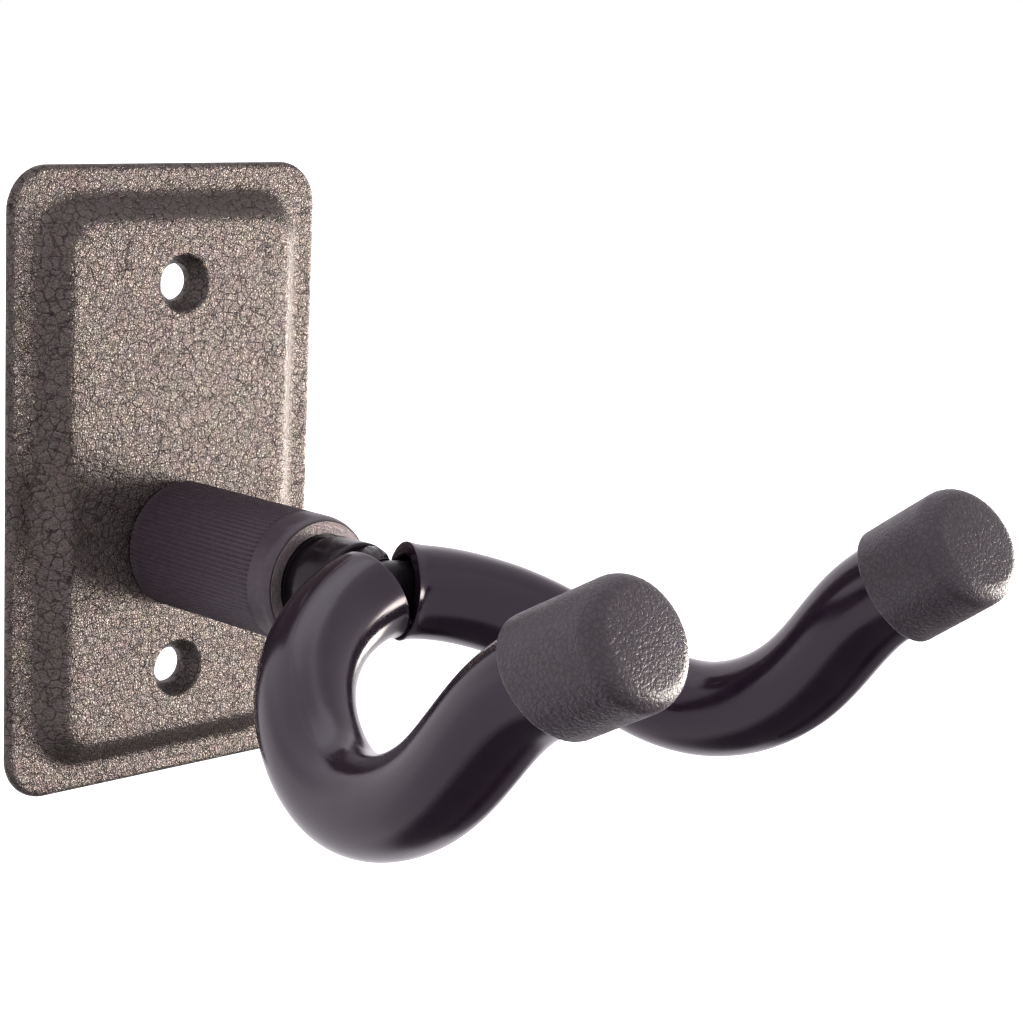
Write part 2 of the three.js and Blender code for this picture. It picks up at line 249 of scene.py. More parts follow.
def fix_normals(ob):
    import bmesh
    bm = bmesh.new()
    bm.from_mesh(ob.data)
    bmesh.ops.recalc_face_normals(bm, faces=bm.faces)
    if bm.calc_volume(signed=True) < 0:
        bmesh.ops.reverse_faces(bm, faces=bm.faces)
    bm.to_mesh(ob.data)
    bm.free()
    for p in ob.data.polygons:
        p.use_smooth = True


# ---------------------------------------------------------------------------------------------
# repeatable noise for relief
# ---------------------------------------------------------------------------------------------
def _hash(ix, iy, iz, k):
    n = (ix * 73856093) ^ (iy * 19349663) ^ (iz * 83492791) ^ (k * 2654435)
    n = (n ^ (n >> 13)) * 1274126177
    n = n & 0x7FFFFFFF
    n = (n ^ (n >> 16)) * 2246822
    return ((n >> 5) & 0xFFFFF) / float(0xFFFFF)


def smooth_noise(P):
    """Value noise, -1 to 1, at an (n, 3) array of points."""
    P = np.asarray(P, float)
    i = np.floor(P).astype(np.int64)
    f = P - i
    f = f * f * (3 - 2 * f)
    r = 0
    for dx in (0, 1):
        for dy in (0, 1):
            for dz in (0, 1):
                w = (f[:, 0] if dx else 1 - f[:, 0]) * (f[:, 1] if dy else 1 - f[:, 1]) * (f[:, 2] if dz else 1 - f[:, 2])
                r = r + w * _hash(i[:, 0] + dx, i[:, 1] + dy, i[:, 2] + dz, 7)
    return r * 2 - 1


def cells(P):
    """Distances to the nearest and second nearest of scattered points, one to each unit cube."""
    P = np.asarray(P, float)
    base = np.floor(P).astype(np.int64)
    a = np.full(len(P), 9.0)
    b = np.full(len(P), 9.0)
    for dx in (-1, 0, 1):
        for dy in (-1, 0, 1):
            for dz in (-1, 0, 1):
                c = base + (dx, dy, dz)
                q = c + np.stack([_hash(c[:, 0], c[:, 1], c[:, 2], k) for k in (1, 2, 3)], 1)
                d = np.linalg.norm(P - q, axis=1)
                b = np.minimum(b, np.maximum(a, d))
                a = np.minimum(a, d)
    return a, b


# ---------------------------------------------------------------------------------------------
# the rod's centreline: a smooth spline through the CAD's points, sampled by length
# ---------------------------------------------------------------------------------------------
def natural_spline(P, per=24):
    P = np.asarray(P, float)
    n = len(P)
    t = np.r_[0, np.cumsum(np.linalg.norm(np.diff(P, axis=0), axis=1))]
    h = np.diff(t)
    A = np.zeros((n, n))
    R = np.zeros((n, 3))
    A[0, 0] = A[-1, -1] = 1
    for i in range(1, n - 1):
        A[i, i - 1], A[i, i], A[i, i + 1] = h[i - 1], 2 * (h[i - 1] + h[i]), h[i]
        R[i] = 6 * ((P[i + 1] - P[i]) / h[i] - (P[i] - P[i - 1]) / h[i - 1])
    M = np.linalg.solve(A, R)
    out = []
    for i in range(n - 1):
        for k in range(per):
            x = h[i] * k / per
            a, b = h[i] - x, x
            out.append(
                M[i] * a**3 / (6 * h[i]) + M[i + 1] * b**3 / (6 * h[i])
                + (P[i] / h[i] - M[i] * h[i] / 6) * a + (P[i + 1] / h[i] - M[i + 1] * h[i] / 6) * b
            )
    out.append(P[-1])
    return np.array(out)


def lerp3(a, b, t):
    return tuple(np.array(a, float) * (1 - t) + np.array(b, float) * t)


def arm(points, mouth, tip):
    return list(points) + [lerp3(mouth, tip, t) for t in (-0.11, 0.12, 0.34, 0.56, 0.78, 1.0)]


_left, _right = arm(LEFT, L_MOUTH, L_TIP), arm(RIGHT, R_MOUTH, R_TIP)
_full = _left[::-1] + [CROWN] + _right
_dense = natural_spline(_full)
_s = np.r_[0, np.cumsum(np.linalg.norm(np.diff(_dense, axis=0), axis=1))]
LENGTH = _s[-1]
_N = 2401
S = np.linspace(0, LENGTH, _N)
LINE = np.stack([np.interp(S, _s, _dense[:, i]) for i in range(3)], 1)
_ds = S[1]
# even out the curvature, keeping the straight tips straight
_k = np.exp(-0.5 * (np.arange(-60, 61) * _ds / 2.2) ** 2)
_k /= _k.sum()
_pad = np.vstack([2 * LINE[0] - LINE[60:0:-1], LINE, 2 * LINE[-1] - LINE[-2:-62:-1]])
LINE = np.stack([np.convolve(_pad[:, i], _k, mode="valid") for i in range(3)], 1)
TAN = np.gradient(LINE, axis=0)
TAN /= np.linalg.norm(TAN, axis=1)[:, None]
NOR = np.zeros_like(TAN)
_n = np.cross(TAN[_N // 2], (0, 1, 0))
NOR[_N // 2] = _n / np.linalg.norm(_n)
for _dir in (1, -1):
    _i = _N // 2
    while 0 <= _i + _dir < _N:
        v = NOR[_i] - TAN[_i + _dir] * (NOR[_i] @ TAN[_i + _dir])
        NOR[_i + _dir] = v / np.linalg.norm(v)
        _i += _dir
BIN = np.cross(TAN, NOR)
_zero = np.interp(0, LINE[:, 0][(S > LENGTH * 0.4) & (S < LENGTH * 0.6)], S[(S > LENGTH * 0.4) & (S < LENGTH * 0.6)])
S = S - _zero  # 0 at the crown, negative on the left arm


def at(s, phi, r):
    """Points at length s along the line, angle phi round it and radius r. Arrays of one shape."""
    s = np.asarray(s, float)
    out = []
    for k in range(3):
        c = np.interp(s, S, LINE[:, k])
        n = np.interp(s, S, NOR[:, k])
        b = np.interp(s, S, BIN[:, k])
        out.append(c + r * (np.cos(phi) * n + np.sin(phi) * b))
    return np.stack(out, -1)


def cut_length(phi, r, cut, side):
    """Where the line at angle phi and radius r meets the crown cut, on the given side (-1 left, +1 right)."""
    a, py, pz = cut
    s = np.linspace(-12, 12, 481)
    P = at(np.repeat(s[:, None], len(phi), 1), phi[None, :], r)
    f = P[..., 0] - (a + py * (P[..., 1] - CROWN[1]) + pz * (P[..., 2] - CROWN[2]))
    res = np.zeros(len(phi))
    for j in range(len(phi)):
        sg = np.sign(f[:, j])
        k = np.where(sg[1:] != sg[:-1])[0]
        if len(k) == 0:
            res[j] = a
            continue
        k = k[np.argmin(abs(s[k] - a))]
        res[j] = s[k] - f[k, j] * (s[k + 1] - s[k]) / (f[k + 1, j] - f[k, j])
    return res


def dent(P):
    """Cushion points pressed back by the spindle's head."""
    rho = np.hypot(P[..., 0], P[..., 2] - AXIS_Z)
    limit = -(HEAD_FRONT + 0.06) + np.maximum(0, rho - (HEAD_R - 0.25)) ** 1.5 * 2.2
    over = P[..., 1] - limit
    soft = np.where(over > -0.5, np.where(over > 0.5, over, (over + 0.5) ** 2 / 2), 0)
    Q = P.copy()
    Q[..., 1] = P[..., 1] - soft
    return Q


def cushion(name, side):
    cut = CUT_L if side < 0 else CUT_R
    nphi = 112
    phi = np.linspace(0, 2 * math.pi, nphi, endpoint=False)
    end = (S[0] + CAP_END + 0.35) if side < 0 else (S[-1] - CAP_END - 0.35)
    e = 0.28

    def flare(d):
        """The tube opens a little towards its cut end; d is the length from the cut."""
        if side < 0:
            return 0.0 * d
        return 0.45 * np.maximum(0, 1 - d / 3.2) ** 2

    # loops from the far end of the outside, over the cut face, to the far end of the bore
    outer0 = cut_length(phi, CUSHION_R, cut, side)
    loops, uvs = [], []
    span = abs(end) - abs(outer0).max()
    ts = np.r_[np.linspace(1, 0.1, int(span * 0.9 / 0.75)), np.linspace(0.1, 0, 12)[1:-1]]

    def surface(r, t):
        s0 = cut_length(phi, r, cut, side) + side * e
        s = s0 + (end - s0) * t
        P = at(s, phi, r + flare(np.abs(s - s0) + e))
        return P, s

    for t in ts:
        P, s = surface(CUSHION_R, t)
        loops.append(P)
        uvs.append(np.stack([phi / (2 * math.pi), s * MM], 1))
    for r, back in (
        (CUSHION_R, 1.0), (CUSHION_R - 0.025, 0.62), (CUSHION_R - 0.09, 0.28), (CUSHION_R - 0.19, 0.07), (CUSHION_R - 0.32, 0),
        (CUSHION_R - 0.8, 0), (CUSHION_R - 1.3, 0), (CUSHION_R - 1.8, 0),
        (CUSHION_RI + 0.2, 0), (CUSHION_RI + 0.08, 0.1), (CUSHION_RI, 0.5), (CUSHION_RI, 1.0),
    ):
        s0 = cut_length(phi, r, cut, side) + side * e * back
        loops.append(at(s0, phi, r + flare(np.full(len(phi), e * back))))
        uvs.append(np.stack([phi / (2 * math.pi), s0 * MM], 1))
    for t in (0.02, 0.06, 0.12, 0.2, 0.3, 0.4, 0.5, 0.6, 0.7, 0.8, 0.9, 1.0):
        P, s = surface(CUSHION_RI, t)
        loops.append(P)
        uvs.append(np.stack([phi / (2 * math.pi), s * MM], 1))
    V = dent(np.array(loops))
    # slow unevenness of soft tubing
    flat = V.reshape(-1, 3)
    m = len(loops)
    for i in range(m):
        if i >= len(ts):
            continue
        for j in range(nphi):
            p = Vector(V[i, j] * 0.085)
            k = noise.noise(p) * 0.05 + noise.noise(p * 2.3 + Vector((7, 1, 3))) * 0.018
            c = LINE[np.argmin(abs(S - uvs[i][j, 1] / MM))]
            d = V[i, j] - c
            V[i, j] += d / np.linalg.norm(d) * k
    flat = V.reshape(-1, 3)
    faces = []
    for i in range(m):
        a, b = i * nphi, ((i + 1) % m) * nphi
        for j in range(nphi):
            k = (j + 1) % nphi
            faces.append((a + j, a + k, b + k, b + j))
    ob = make(name, flat, faces, uv=np.vstack(uvs))
    fix_normals(ob)
    return ob


def rod(name):
    nphi = 64
    phi = np.linspace(0, 2 * math.pi, nphi, endpoint=False)
    ss = np.linspace(S[0] + CAP_END + 0.8, S[-1] - CAP_END - 0.8, int((S[-1] - S[0]) / 1.2))
    verts, faces = [], []
    for s in ss:
        verts.append(at(np.full(nphi, s), phi, ROD_R))
    V = np.array(verts).reshape(-1, 3)
    m = len(ss)
    for i in range(m - 1):
        for j in range(nphi):
            k = (j + 1) % nphi
            faces.append((i * nphi + j, i * nphi + k, (i + 1) * nphi + k, (i + 1) * nphi + j))
    faces.append(tuple(range(nphi)))
    faces.append(tuple((m - 1) * nphi + j for j in reversed(range(nphi))))
    ob = make(name, V, faces)
    fix_normals(ob)
    return ob


# ---------------------------------------------------------------------------------------------
# the wall plate
# ---------------------------------------------------------------------------------------------
def sd_round_rect(x, z, w, h, r):
    qx, qz = np.abs(x) - (w / 2 - r), np.abs(z) - (h / 2 - r)
    return np.hypot(np.maximum(qx, 0), np.maximum(qz, 0)) + np.minimum(np.maximum(qx, qz), 0) - r


def cos_step(u):
    u = np.clip(u, 0, 1)
    return 0.5 - 0.5 * np.cos(math.pi * u)


def ramp_step(u):
    """A straight ramp from 0 to 1 with its two ends rounded."""
    u = np.clip(u, 0, 1)
    w = 0.30
    k = 1 / (1 - w)
    return np.where(u < w, k * u * u / (2 * w), np.where(u > 1 - w, 1 - k * (1 - u) ** 2 / (2 * w), k * (u - w / 2)))


def front_height(x, z):
    d = np.maximum(sd_round_rect(x, z, PLATE_W - 2 * SLOPE_IN, PLATE_H - 2 * SLOPE_IN, FIELD_R), 0)
    h = SHEET + (FIELD_Y - SHEET) * (1 - ramp_step(d / SLOPE_RUN))
    t = np.maximum(-sd_round_rect(x, z, PLATE_W, PLATE_H, PLATE_R), 0)
    e = 1.15
    k = np.clip(1 - t / e, 0, 1)
    h = h - e * (1 - np.sqrt(np.maximum(0, 1 - k**2))) * 0.88
    for s in (1, -1):
        rho = np.hypot(x, z - s * SCREW_Z)
        u = np.clip((SINK_R + 0.35 - rho) / (SINK_R + 0.35 - SCREW_R), 0, 1)
        g = np.where(u < 0.3, u * u / 0.6, u - 0.15) / 0.85
        h = h - SINK_D * g
    return h


def back_height(x, z):
    d = np.maximum(sd_round_rect(x, z, PLATE_W - 2 * SLOPE_IN, PLATE_H - 2 * SLOPE_IN, FIELD_R), 0)
    h = (FIELD_Y - SHEET) * (1 - ramp_step((d + 0.6 * (d > 0)) / SLOPE_RUN))
    t = np.maximum(-sd_round_rect(x, z, PLATE_W, PLATE_H, PLATE_R), 0)
    e = 0.3
    k = np.clip(1 - t / e, 0, 1)
    h = h + e * (1 - np.sqrt(np.maximum(0, 1 - k**2))) * 0.9
    for s in (1, -1):
        rho = np.hypot(x, z - s * SCREW_Z)
        u = np.clip((SINK_R + 1.5 - rho) / 1.7, 0, 1)
        h = np.minimum(h, (FIELD_Y - SHEET) - SINK_D * cos_step(u))
    return h


def contour(w, h, r, step):
    """Points evenly round a rounded rectangle."""
    r = max(r, 0.05)
    pts = []
    segs = [
        ((w / 2 - r, -h / 2), (w / 2 - r, -h / 2 + r), -90), ((w / 2, h / 2 - r), (w / 2 - r, h / 2 - r), 0),
        ((-w / 2 + r, h / 2), (-w / 2 + r, h / 2 - r), 90), ((-w / 2, -h / 2 + r), (-w / 2 + r, -h / 2 + r), 180),
    ]
    last = (-w / 2 + r, -h / 2)
    for start, c, a0 in segs:
        L = math.hypot(start[0] - last[0], start[1] - last[1])
        n = max(1, int(round(L / step)))
        for k in range(n):
            pts.append((last[0] + (start[0] - last[0]) * k / n, last[1] + (start[1] - last[1]) * k / n))
        n = max(3, int(round(r * math.pi / 2 / step)))
        for k in range(n):
            a = math.radians(a0 + 90 * k / n)
            pts.append((c[0] + r * math.cos(a), c[1] + r * math.sin(a)))
        a = math.radians(a0 + 90)
        last = (c[0] + r * math.cos(a), c[1] + r * math.sin(a))
    return pts


def plate(name):
    pts, edges = [], []

    def loop(p, constrain):
        i = len(pts)
        pts.extend(p)
        if constrain:
            edges.extend((i + k, i + (k + 1) % len(p)) for k in range(len(p)))

    loop(contour(PLATE_W, PLATE_H, PLATE_R, 0.7), True)
    for t in (0.02, 0.07, 0.15, 0.26, 0.4, 0.6, 0.85, 1.15, 1.5, 2.0, 2.7):
        loop(contour(PLATE_W - 2 * t, PLATE_H - 2 * t, PLATE_R - t, 0.7), False)
    wf, hf = PLATE_W - 2 * SLOPE_IN, PLATE_H - 2 * SLOPE_IN
    for d in np.arange(SLOPE_RUN + 0.2, -0.01, -0.4):
        loop(contour(wf + 2 * d, hf + 2 * d, FIELD_R + d, 0.7), False)
    holes = [(0, SCREW_Z, SCREW_R), (0, -SCREW_Z, SCREW_R), (0, AXIS_Z, TUBE_RO + 0.3)]
    rings = {SCREW_R: np.r_[np.arange(SCREW_R, 6.4, 0.22)], TUBE_RO + 0.3: np.r_[TUBE_RO + 0.3, TUBE_RO + 0.9]}
    for cx, cz, r in holes:
        for q, rr in enumerate(rings[r]):
            n = 72 if r < 5 else 96
            a = np.linspace(0, 2 * math.pi, n, endpoint=False) + (math.pi / n if q % 2 else 0)
            loop(list(zip(cx + rr * np.cos(a), cz + rr * np.sin(a))), q == 0)
    g = []
    for x in np.arange(-wf / 2 + 0.7, wf / 2 - 0.4, 1.1):
        for z in np.arange(-hf / 2 + 0.7, hf / 2 - 0.4, 1.1):
            if all(math.hypot(x - cx, z - cz) > rings[r][-1] + 0.5 for cx, cz, r in holes):
                if sd_round_rect(np.array(x), np.array(z), wf, hf, FIELD_R) < -0.4:
                    g.append((x, z))
    pts.extend(g)
    out = geometry.delaunay_2d_cdt([Vector(p) for p in pts], edges, [], 0, 1e-5)
    P = np.array([tuple(v) for v in out[0]])
    tris = []
    for f in out[2]:
        c = P[list(f)].mean(0)
        if sd_round_rect(c[0], c[1], PLATE_W, PLATE_H, PLATE_R) > -1e-4:
            continue
        if any(math.hypot(c[0] - cx, c[1] - cz) < r * math.cos(math.pi / 72) - 1e-3 for cx, cz, r in holes):
            continue
        tris.append(tuple(f))
    n = len(P)
    F = np.stack([P[:, 0], -front_height(P[:, 0], P[:, 1]), P[:, 1]], 1)
    B = np.stack([P[:, 0], -back_height(P[:, 0], P[:, 1]), P[:, 1]], 1)
    faces = [t for t in tris] + [tuple(n + i for i in reversed(t)) for t in tris]
    count = {}
    for t in tris:
        for a, b in ((t[0], t[1]), (t[1], t[2]), (t[2], t[0])):
            count[(a, b)] = 1
    verts = np.vstack([F, B])
    for (a, b) in list(count):
        if (b, a) not in count:
            faces.append((b, a, n + a, n + b))
    ob = make(name, verts, faces)
    fix_normals(ob)
    sharp_by_angle(ob, 40)
    # drop points that no face uses
    import bmesh
    bm = bmesh.new()
    bm.from_mesh(ob.data)
    loose = [v for v in bm.verts if not v.link_faces]
    bmesh.ops.delete(bm, geom=loose, context="VERTS")
    bm.to_mesh(ob.data)
    bm.free()
    return ob


# ---------------------------------------------------------------------------------------------
# end caps
# ---------------------------------------------------------------------------------------------
def cap(name, mouth, tip, lean):
    m, t = np.array(mouth), np.array(tip)
    L = np.linalg.norm(t - m)
    d = (t - m) / L
    u = np.cross(d, (0, 0, 1))
    u /= np.linalg.norm(u)
    w = np.cross(u, d)
    bore = CUSHION_R + 0.12
    # a domed end, running into a corner of radius 3.1
    dome = [np.array((r, L - 0.8 * (r / CAP_R) ** 2)) for r in np.linspace(0, 5.97, 26)]
    dome += [np.array((CAP_R - 3.1 + 3.1 * math.sin(a), L - 3.452 + 3.1 * math.cos(a))) for a in np.linspace(0.126, math.pi / 2, 24)[1:-1]]
    outline = [(CAP_R, L - 3.452), (CAP_R, 0.0), (bore, 0.0), (bore, L - CAP_END), (0.0, L - CAP_END), (0.0, L)]
    prof = dome + rounded(outline, [0, 1.1, 0.25, 0, 0, 0], 10)[:-1]
    prof = subdivided(prof, 0.16, closed=False)
    segs = 400
    th = np.linspace(0, 2 * math.pi, segs, endpoint=False)
    R = np.array([p[0] for p in prof])[:, None]
    Y = np.array([p[1] for p in prof])[:, None]
    fade = np.maximum(0, 1 - Y / (L - CAP_END))
    Y = Y + fade * (lean[0] * np.cos(th) + lean[1] * np.sin(th))[None, :] * R
    P = m + Y[..., None] * d + R[..., None] * (np.cos(th)[None, :, None] * u + np.sin(th)[None, :, None] * w)
    # outward normals of the smooth cup, for the grain
    out = np.gradient(P, axis=0)
    around = (np.roll(P, -1, 1) - np.roll(P, 1, 1))
    nrm = np.cross(out, around)
    ln = np.linalg.norm(nrm, axis=-1, keepdims=True)
    nrm = nrm / np.maximum(ln, 1e-9)
    k = len(prof) // 3
    if (nrm[k] * (P[k] - P[k].mean(0))).sum() < 0:
        nrm = -nrm
    first_inner = next(i for i, p in enumerate(prof) if i > 20 and p[0] < CAP_R - 0.6 and p[1] < 1)
    grain = np.zeros(P.shape[:2])
    q = P[:first_inner].reshape(-1, 3)
    warp = np.stack([smooth_noise(q * 0.9 + o) for o in (0.0, 17.3, 31.7)], 1)
    f1, f2 = cells(q * (1.55, 1.55, 1.55) + warp * 0.55)
    edge = np.clip((f2 - f1) / 0.34, 0, 1)
    edge = edge * edge * (3 - 2 * edge)
    g1, g2 = cells(q * 3.1 + warp * 0.5 + 50)
    fine = np.clip((g2 - g1) / 0.4, 0, 1)
    h = (edge - 1) * 0.036 + (fine - 1) * 0.012 + smooth_noise(q * 0.35) * 0.03 - 0.02
    grain[:first_inner] = h.reshape(-1, segs)
    grain[0] = grain[0].mean()
    P = P + nrm * np.minimum(grain, 0.0)[..., None]
    P[0] = P[0].mean(0)
    rows, verts = [], []
    for i in range(len(prof)):
        if prof[i][0] < 1e-6:
            rows.append([len(verts)] * segs)
            verts.append(P[i].mean(0))
        else:
            rows.append(list(range(len(verts), len(verts) + segs)))
            verts.extend(P[i])
    faces = []
    for i in range(len(rows) - 1):
        A, B = rows[i], rows[i + 1]
        for j in range(segs):
            k = (j + 1) % segs
            f = []
            for v in (A[j], B[j], B[k], A[k]):
                if v not in f:
                    f.append(v)
            if len(f) > 2:
                faces.append(f)
    ob = make(name, verts, faces)
    fix_normals(ob)
    return ob


# ---------------------------------------------------------------------------------------------
# the standoff, the swivel and its small parts
# ---------------------------------------------------------------------------------------------
RIBS = 84


def ribbed(name):
    end = 35.9  # where the ribs stop short of the smooth collar
    F = TUBE_FRONT
    prof = [
        (SLEEVE_RI, SLEEVE_BACK), (SLEEVE_RO, SLEEVE_BACK), (SLEEVE_RO, F - 1.9), (SLEEVE_RO - 0.12, F - 1.0),
        (SLEEVE_RO - 0.4, F - 0.15), (SLEEVE_RI, F - 0.1),
    ]
    prof = rounded(prof, [0, 0.15, 1.5, 1.2, 0.25, 0.06], 6)
    prof = subdivided(prof, 1.6)
    extra = []
    # close rows where the ribs run out
    for r, o in prof:
        extra.append(np.array((r, o)))
    rows = []
    for a, b in zip(extra, extra[1:] + extra[:1]):
        rows.append(a)
        if abs(a[0] - SLEEVE_RO) < 0.02 and abs(b[0] - SLEEVE_RO) < 0.02:
            for o in (end - 0.55, end - 0.3, end - 0.1, end, end + 0.12):
                if min(a[1], b[1]) < o < max(a[1], b[1]):
                    rows.append(np.array((SLEEVE_RO, o)))
    # keep added rows in order along the outside
    idx = [i for i, p in enumerate(rows) if abs(p[0] - SLEEVE_RO) < 0.02]
    vals = sorted([rows[i][1] for i in idx], reverse=bool(rows[idx[0]][1] > rows[idx[-1]][1]))
    for i, o in zip(idx, vals):
        rows[i] = np.array((SLEEVE_RO, o))

    def radial(th, r, o):
        if r < SLEEVE_RO - 0.3:
            return np.full(len(th), r)
        fade = 1 - cos_step((o - (end - 0.55)) / 0.55)
        fade = fade * cos_step((o - SLEEVE_BACK) / 0.35)
        w = 0.5 + 0.5 * np.cos(th * RIBS)
        w = w ** 1.5
        return r - 0.24 * w * fade

    return turned(name, rows, segs=RIBS * 10, radial=radial)


def hex_socket_screw(name):
    """Low head with a socket, and a threaded shank."""
    prof = [(0, 4.2), (1.9, 4.2), (1.9, 2.7), (3.6, 2.7), (4.6, 3.5), (4.6, 5.3), (2.5, 5.3)]
    prof = [np.array(p, float) for p in prof]
    o = 5.6
    while o < 18.3:
        prof += [np.array((2.5, o)), np.array((2.12, o + 0.4))]
        o += 0.8
    prof += [np.array((1.8, 18.9)), np.array((0, 19.0))]

    def radial(th, r, o):
        if abs(r - 1.9) < 1e-6:
            k = math.pi / 3
            return 1.65 / np.cos((th % k) - k / 2)
        return np.full(len(th), r)

    ob = turned(name, prof, segs=96, closed=False, radial=radial)
    return sharp_by_angle(ob, 30)


def weld_ring(name):
    foot = FIELD_Y - SHEET - 0.3
    r0 = TUBE_RO + 0.3
    prof = subdivided([(r0, foot), (r0 + 2.0, foot), (r0 + 1.3, foot - 0.75), (r0 + 0.55, foot - 1.2), (r0, foot - 1.6)], 0.3)

    def radial(th, r, o):
        if r <= r0 + 1e-6:
            return np.full(len(th), r)
        k = min(1.0, (r - r0) / 0.8)
        return r + k * 0.14 * np.abs(np.sin(th * 17 + 0.4 * np.sin(th * 3))) - 0.12 * k

    return turned(name, prof, segs=420, radial=radial)


def bead(name):
    """The weld bead between the rod and the spindle's head."""
    c = np.array((0.7, -HEAD_FRONT - 1.7, -5.7))
    r = np.array((3.1, 2.7, 2.7))
    nu, nv = 96, 64
    verts, faces = [], []
    for i in range(nv + 1):
        a = math.pi * i / nv
        for j in range(nu):
            b = 2 * math.pi * j / nu
            n = np.array((math.cos(a), math.sin(a) * math.cos(b), math.sin(a) * math.sin(b)))
            p = c + r * n * 0.97
            lump = 0.10 * abs(math.sin(p[0] * 2.6 + 0.5 * math.sin(p[2] * 1.3))) + 0.08 * noise.noise(Vector(p * 0.9))
            p = p + n * (lump - 0.1)
            # flat against the head, and hollowed round the rod
            p[1] = min(p[1], -(HEAD_FRONT + 0.02))
            q = np.array((p[1] - CROWN[1], p[2] - CROWN[2]))
            L = np.linalg.norm(q)
            if L < ROD_R + 0.02:
                q = q / max(L, 1e-6) * (ROD_R + 0.02)
                p[1], p[2] = CROWN[1] + q[0], CROWN[2] + q[1]
                p[1] = min(p[1], -(HEAD_FRONT + 0.02))
            verts.append(p)
    for i in range(nv):
        for j in range(nu):
            k = (j + 1) % nu
            faces.append((i * nu + j, i * nu + k, (i + 1) * nu + k, (i + 1) * nu + j))
    ob = make(name, verts, faces)
    import bmesh
    bm = bmesh.new()
    bm.from_mesh(ob.data)
    bmesh.ops.remove_doubles(bm, verts=bm.verts, dist=2e-6)
    bm.to_mesh(ob.data)
    bm.free()
    fix_normals(ob)
    return ob


# ---------------------------------------------------------------------------------------------
# materials
# ---------------------------------------------------------------------------------------------
class Tree:
    def __init__(self, name):
        self.mat = bpy.data.materials.new(name)
        self.mat.use_nodes = True
        self.nt = self.mat.node_tree
        self.nt.nodes.clear()
        self.out = self.nt.nodes.new("ShaderNodeOutputMaterial")
        self.bsdf = self.nt.nodes.new("ShaderNodeBsdfPrincipled")
        self.link(self.bsdf.outputs[0], self.out.inputs[0])

    def node(self, kind, **props):
        n = self.nt.nodes.new(kind)
        for k, v in props.items():
            setattr(n, k, v)
        return n

    def link(self, a, b):
        self.nt.links.new(a, b)

    def value(self, socket, v):
        if hasattr(v, "is_linked") or hasattr(v, "links"):
            self.link(v, socket)
        else:
            socket.default_value = v

    def set(self, **kw):
        for k, v in kw.items():
            self.value(self.bsdf.inputs[k.replace("_", " ")], v)

    def coords(self):
        return self.node("ShaderNodeTexCoord").outputs["Object"]

    def math(self, op, a, b=None, clamp=False):
        n = self.node("ShaderNodeMath", operation=op, use_clamp=clamp)
        self.value(n.inputs[0], a)
        if b is not None:
            self.value(n.inputs[1], b)
        return n.outputs[0]

    def vadd(self, a, b, scale):
        m = self.node("ShaderNodeVectorMath", operation="MULTIPLY_ADD")
        self.value(m.inputs[0], b)
        m.inputs[1].default_value = (scale,) * 3
        self.value(m.inputs[2], a)
        return m.outputs[0]

    def noise(self, vec, scale, detail=2.0, rough=0.5, distortion=0.0, out="Fac"):
        n = self.node("ShaderNodeTexNoise")
        self.link(vec, n.inputs["Vector"])
        n.inputs["Scale"].default_value = scale
        n.inputs["Detail"].default_value = detail
        n.inputs["Roughness"].default_value = rough
        n.inputs["Distortion"].default_value = distortion
        return n.outputs[0 if out == "Fac" else 1]

    def voronoi(self, vec, scale, feature="F1", rand=1.0, smooth=None):
        n = self.node("ShaderNodeTexVoronoi", feature=feature)
        self.link(vec, n.inputs["Vector"])
        n.inputs["Scale"].default_value = scale
        n.inputs["Randomness"].default_value = rand
        if smooth is not None:
            n.inputs["Smoothness"].default_value = smooth
        return n.outputs["Distance"]

    def ramp(self, fac, stops, interp="LINEAR"):
        n = self.node("ShaderNodeValToRGB")
        n.color_ramp.interpolation = interp
        els = n.color_ramp.elements
        while len(els) < len(stops):
            els.new(0.5)
        for e, (pos, col) in zip(els, stops):
            e.position = pos
            e.color = (*col, 1) if len(col) == 3 else col
        self.link(fac, n.inputs[0])
        return n.outputs[0]

    def range(self, v, a, b, c, d, clamp=True):
        n = self.node("ShaderNodeMapRange", clamp=clamp)
        self.link(v, n.inputs[0])
        for i, x in zip((1, 2, 3, 4), (a, b, c, d)):
            n.inputs[i].default_value = x
        return n.outputs[0]

    def mix(self, fac, a, b, mode="MIX"):
        n = self.node("ShaderNodeMix", data_type="RGBA", blend_type=mode)
        self.value(n.inputs[0], fac)
        self.value(n.inputs[6], a if not isinstance(a, tuple) else (*a, 1))
        self.value(n.inputs[7], b if not isinstance(b, tuple) else (*b, 1))
        return n.outputs[2]

    def bump(self, height, distance, strength=1.0, normal=None):
        n = self.node("ShaderNodeBump")
        n.inputs["Strength"].default_value = strength
        n.inputs["Distance"].default_value = distance
        self.link(height, n.inputs["Height"])
        if normal is not None:
            self.link(normal, n.inputs["Normal"])
        return n.outputs[0]


